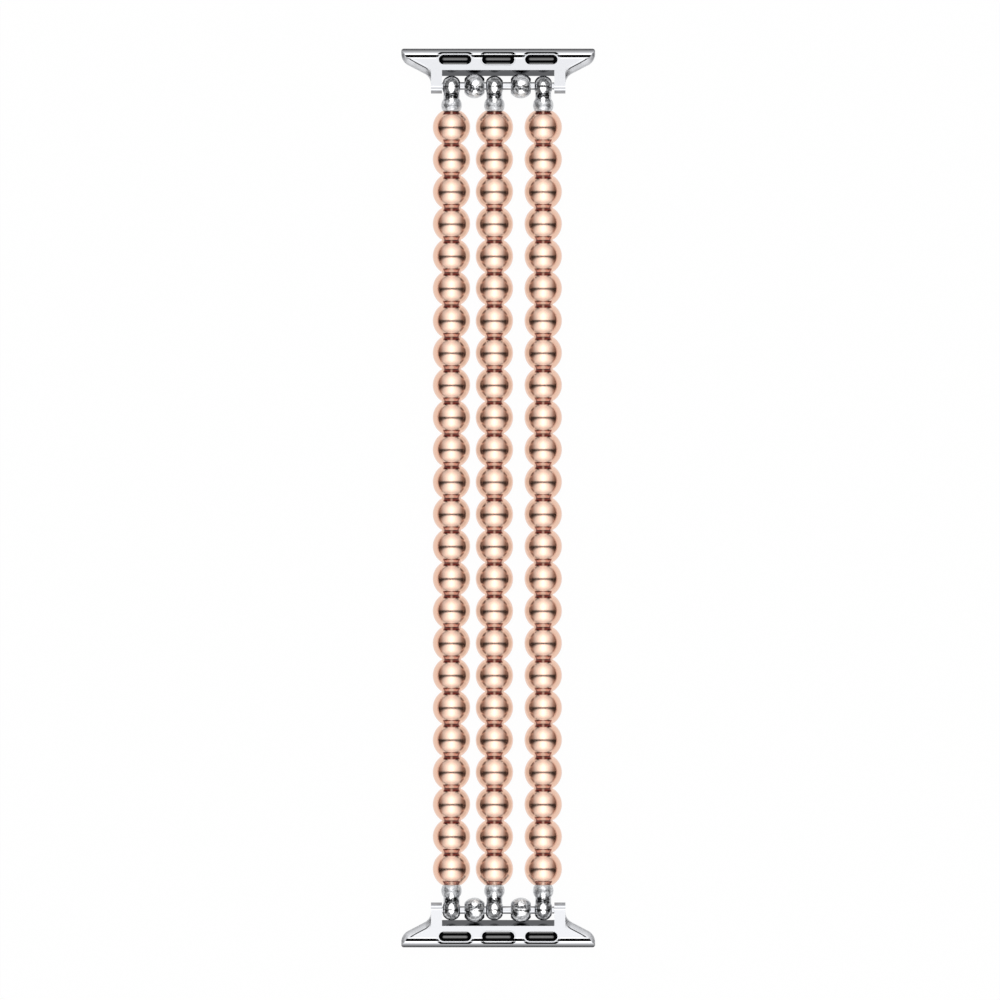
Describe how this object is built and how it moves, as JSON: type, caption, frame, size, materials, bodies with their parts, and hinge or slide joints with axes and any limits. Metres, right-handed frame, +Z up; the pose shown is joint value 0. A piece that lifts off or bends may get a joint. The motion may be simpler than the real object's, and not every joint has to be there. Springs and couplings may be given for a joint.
{
  "type": "bead watch band",
  "caption": "Elastic watch band of strands of polished beads between two slide-in metal connectors with spring bars, spacer balls and spring latches.",
  "frame": {"origin": "centre of the band, on the surface that it lies on", "axes": "+X across the band to its right, +Y along the band to its top end, +Z up out of its wrist side"},
  "size_m": [0.031, 0.1438, 0.006],
  "materials": {
    "rose_gold": "mirror-polished rose-gold plate",
    "polished_steel": "polished stainless steel",
    "polished_findings": "mirror-polished plated findings",
    "black_pad": "satin black moulded",
    "elastic_cord": "braided-look elastic",
    "spring_steel": "drawn spring wire",
    "crimp_metal": "plain brass"
  },
  "bodies": {
    "row_01": {"bead_row_01": "rose_gold"},
    "row_02": {"bead_row_02": "rose_gold"},
    "row_03": {"bead_row_03": "rose_gold"},
    "row_04": {"bead_row_04": "rose_gold"},
    "row_05": {"bead_row_05": "rose_gold"},
    "row_06": {"bead_row_06": "rose_gold"},
    "row_07": {"bead_row_07": "rose_gold"},
    "row_08": {"bead_row_08": "rose_gold"},
    "row_09": {"bead_row_09": "rose_gold"},
    "row_10": {"bead_row_10": "rose_gold"},
    "row_11": {"bead_row_11": "rose_gold"},
    "row_12": {"bead_row_12": "rose_gold", "elastic_cord_left": "elastic_cord", "elastic_cord_centre": "elastic_cord", "elastic_cord_right": "elastic_cord"},
    "row_13": {"bead_row_13": "rose_gold"},
    "row_14": {"bead_row_14": "rose_gold"},
    "row_15": {"bead_row_15": "rose_gold"},
    "row_16": {"bead_row_16": "rose_gold"},
    "row_17": {"bead_row_17": "rose_gold"},
    "row_18": {"bead_row_18": "rose_gold"},
    "row_19": {"bead_row_19": "rose_gold"},
    "row_20": {"bead_row_20": "rose_gold"},
    "row_21": {"bead_row_21": "rose_gold"},
    "row_22": {"bead_row_22": "rose_gold"},
    "row_23": {"bead_row_23": "rose_gold"},
    "row_24": {"bead_row_24": "rose_gold"},
    "end_caps_top": {"end_cap_left_top": "polished_findings", "end_cap_centre_top": "polished_findings", "end_cap_right_top": "polished_findings", "crimp_beads_top": "crimp_metal"},
    "connector_top": {"lug_body_top": "polished_steel", "friction_pad_left_top": "black_pad", "friction_pad_right_top": "black_pad", "latch_frame_top": "polished_steel", "latch_spring_top": "spring_steel", "bar_tube_top": "polished_steel", "bar_spring_top": "spring_steel"},
    "latch_button_top": {"latch_button_top": "black_pad"},
    "bar_tip_left_top": {"bar_tip_left_top": "polished_steel"},
    "spacer_left_top": {"spacer_left_top": "polished_findings"},
    "bar_tip_right_top": {"bar_tip_right_top": "polished_steel"},
    "spacer_right_top": {"spacer_right_top": "polished_findings"},
    "end_caps_bottom": {"end_cap_left_bottom": "polished_findings", "end_cap_centre_bottom": "polished_findings", "end_cap_right_bottom": "polished_findings", "crimp_beads_bottom": "crimp_metal"},
    "connector_bottom": {"lug_body_bottom": "polished_steel", "friction_pad_left_bottom": "black_pad", "friction_pad_right_bottom": "black_pad", "latch_frame_bottom": "polished_steel", "latch_spring_bottom": "spring_steel", "bar_tube_bottom": "polished_steel", "bar_spring_bottom": "spring_steel"},
    "latch_button_bottom": {"latch_button_bottom": "black_pad"},
    "bar_tip_left_bottom": {"bar_tip_left_bottom": "polished_steel"},
    "spacer_left_bottom": {"spacer_left_bottom": "polished_findings"},
    "bar_tip_right_bottom": {"bar_tip_right_bottom": "polished_steel"},
    "spacer_right_bottom": {"spacer_right_bottom": "polished_findings"}
  },
  "joints": [
    {"name": "connector_swing_top", "type": "hinge", "parent": "end_caps_top", "child": "connector_top", "pos_m": [0, 0.06592, 0.003], "axis": [1, 0, 0], "range_deg": [0, 90]},
    {"name": "connector_swing_bottom", "type": "hinge", "parent": "end_caps_bottom", "child": "connector_bottom", "pos_m": [0, -0.06592, 0.003], "axis": [-1, 0, 0], "range_deg": [0, 90]},
    {"name": "cap_curl_top", "type": "hinge", "parent": "row_01", "child": "end_caps_top", "pos_m": [0, 0.06192, 0.00437], "axis": [1, 0, 0], "range_deg": [0, 12]},
    {"name": "cap_curl_bottom", "type": "hinge", "parent": "row_24", "child": "end_caps_bottom", "pos_m": [0, -0.06192, 0.00437], "axis": [-1, 0, 0], "range_deg": [0, 12]},
    {"name": "latch_press_top", "type": "slide", "parent": "connector_top", "child": "latch_button_top", "axis": [0, -0.3476, -0.9376], "range_m": [0, 0.0004], "stiffness_N_per_m": 200, "deforming": ["latch_spring_top"]},
    {"name": "latch_press_bottom", "type": "slide", "parent": "connector_bottom", "child": "latch_button_bottom", "axis": [0, 0.3476, -0.9376], "range_m": [0, 0.0004], "stiffness_N_per_m": 200, "deforming": ["latch_spring_bottom"]},
    {"name": "tip_slide_left_top", "type": "slide", "parent": "connector_top", "child": "bar_tip_left_top", "axis": [1, 0, 0], "range_m": [0, 0.001], "stiffness_N_per_m": 300, "deforming": ["bar_spring_top"]},
    {"name": "tip_slide_right_top", "type": "slide", "parent": "connector_top", "child": "bar_tip_right_top", "axis": [-1, 0, 0], "range_m": [0, 0.001], "stiffness_N_per_m": 300},
    {"name": "tip_slide_left_bottom", "type": "slide", "parent": "connector_bottom", "child": "bar_tip_left_bottom", "axis": [1, 0, 0], "range_m": [0, 0.001], "stiffness_N_per_m": 300, "deforming": ["bar_spring_bottom"]},
    {"name": "tip_slide_right_bottom", "type": "slide", "parent": "connector_bottom", "child": "bar_tip_right_bottom", "axis": [-1, 0, 0], "range_m": [0, 0.001], "stiffness_N_per_m": 300},
    {"name": "spacer_spin_left_top", "type": "hinge", "parent": "connector_top", "child": "spacer_left_top", "pos_m": [0, 0.06592, 0.003], "axis": [1, 0, 0], "continuous": true},
    {"name": "spacer_spin_right_top", "type": "hinge", "parent": "connector_top", "child": "spacer_right_top", "pos_m": [0, 0.06592, 0.003], "axis": [1, 0, 0], "continuous": true},
    {"name": "spacer_spin_left_bottom", "type": "hinge", "parent": "connector_bottom", "child": "spacer_left_bottom", "pos_m": [0, -0.06592, 0.003], "axis": [1, 0, 0], "continuous": true},
    {"name": "spacer_spin_right_bottom", "type": "hinge", "parent": "connector_bottom", "child": "spacer_right_bottom", "pos_m": [0, -0.06592, 0.003], "axis": [1, 0, 0], "continuous": true},
    {"name": "curl_01_02", "type": "hinge", "parent": "row_02", "child": "row_01", "pos_m": [0, 0.05676, 0.00451], "axis": [1, 0, 0], "range_deg": [0, 12]},
    {"name": "curl_02_03", "type": "hinge", "parent": "row_03", "child": "row_02", "pos_m": [0, 0.0516, 0.00451], "axis": [1, 0, 0], "range_deg": [0, 12]},
    {"name": "curl_03_04", "type": "hinge", "parent": "row_04", "child": "row_03", "pos_m": [0, 0.04644, 0.00451], "axis": [1, 0, 0], "range_deg": [0, 12]},
    {"name": "curl_04_05", "type": "hinge", "parent": "row_05", "child": "row_04", "pos_m": [0, 0.04128, 0.00451], "axis": [1, 0, 0], "range_deg": [0, 12]},
    {"name": "curl_05_06", "type": "hinge", "parent": "row_06", "child": "row_05", "pos_m": [0, 0.03612, 0.00451], "axis": [1, 0, 0], "range_deg": [0, 12]},
    {"name": "curl_06_07", "type": "hinge", "parent": "row_07", "child": "row_06", "pos_m": [0, 0.03096, 0.00451], "axis": [1, 0, 0], "range_deg": [0, 12]},
    {"name": "curl_07_08", "type": "hinge", "parent": "row_08", "child": "row_07", "pos_m": [0, 0.0258, 0.00451], "axis": [1, 0, 0], "range_deg": [0, 12]},
    {"name": "curl_08_09", "type": "hinge", "parent": "row_09", "child": "row_08", "pos_m": [0, 0.02064, 0.00451], "axis": [1, 0, 0], "range_deg": [0, 12]},
    {"name": "curl_09_10", "type": "hinge", "parent": "row_10", "child": "row_09", "pos_m": [0, 0.01548, 0.00451], "axis": [1, 0, 0], "range_deg": [0, 12]},
    {"name": "curl_10_11", "type": "hinge", "parent": "row_11", "child": "row_10", "pos_m": [0, 0.01032, 0.00451], "axis": [1, 0, 0], "range_deg": [0, 12]},
    {"name": "curl_11_12", "type": "hinge", "parent": "row_12", "child": "row_11", "pos_m": [0, 0.00516, 0.00451], "axis": [1, 0, 0], "range_deg": [0, 12], "deforming": ["elastic_cord_centre"]},
    {"name": "curl_12_13", "type": "hinge", "parent": "row_12", "child": "row_13", "pos_m": [0, 0, 0.00451], "axis": [-1, 0, 0], "range_deg": [0, 12], "deforming": ["elastic_cord_left"]},
    {"name": "curl_13_14", "type": "hinge", "parent": "row_13", "child": "row_14", "pos_m": [0, -0.00516, 0.00451], "axis": [-1, 0, 0], "range_deg": [0, 12], "deforming": ["elastic_cord_right"]},
    {"name": "curl_14_15", "type": "hinge", "parent": "row_14", "child": "row_15", "pos_m": [0, -0.01032, 0.00451], "axis": [-1, 0, 0], "range_deg": [0, 12]},
    {"name": "curl_15_16", "type": "hinge", "parent": "row_15", "child": "row_16", "pos_m": [0, -0.01548, 0.00451], "axis": [-1, 0, 0], "range_deg": [0, 12]},
    {"name": "curl_16_17", "type": "hinge", "parent": "row_16", "child": "row_17", "pos_m": [0, -0.02064, 0.00451], "axis": [-1, 0, 0], "range_deg": [0, 12]},
    {"name": "curl_17_18", "type": "hinge", "parent": "row_17", "child": "row_18", "pos_m": [0, -0.0258, 0.00451], "axis": [-1, 0, 0], "range_deg": [0, 12]},
    {"name": "curl_18_19", "type": "hinge", "parent": "row_18", "child": "row_19", "pos_m": [0, -0.03096, 0.00451], "axis": [-1, 0, 0], "range_deg": [0, 12]},
    {"name": "curl_19_20", "type": "hinge", "parent": "row_19", "child": "row_20", "pos_m": [0, -0.03612, 0.00451], "axis": [-1, 0, 0], "range_deg": [0, 12]},
    {"name": "curl_20_21", "type": "hinge", "parent": "row_20", "child": "row_21", "pos_m": [0, -0.04128, 0.00451], "axis": [-1, 0, 0], "range_deg": [0, 12]},
    {"name": "curl_21_22", "type": "hinge", "parent": "row_21", "child": "row_22", "pos_m": [0, -0.04644, 0.00451], "axis": [-1, 0, 0], "range_deg": [0, 12]},
    {"name": "curl_22_23", "type": "hinge", "parent": "row_22", "child": "row_23", "pos_m": [0, -0.0516, 0.00451], "axis": [-1, 0, 0], "range_deg": [0, 12]},
    {"name": "curl_23_24", "type": "hinge", "parent": "row_23", "child": "row_24", "pos_m": [0, -0.05676, 0.00451], "axis": [-1, 0, 0], "range_deg": [0, 12]}
  ]
}
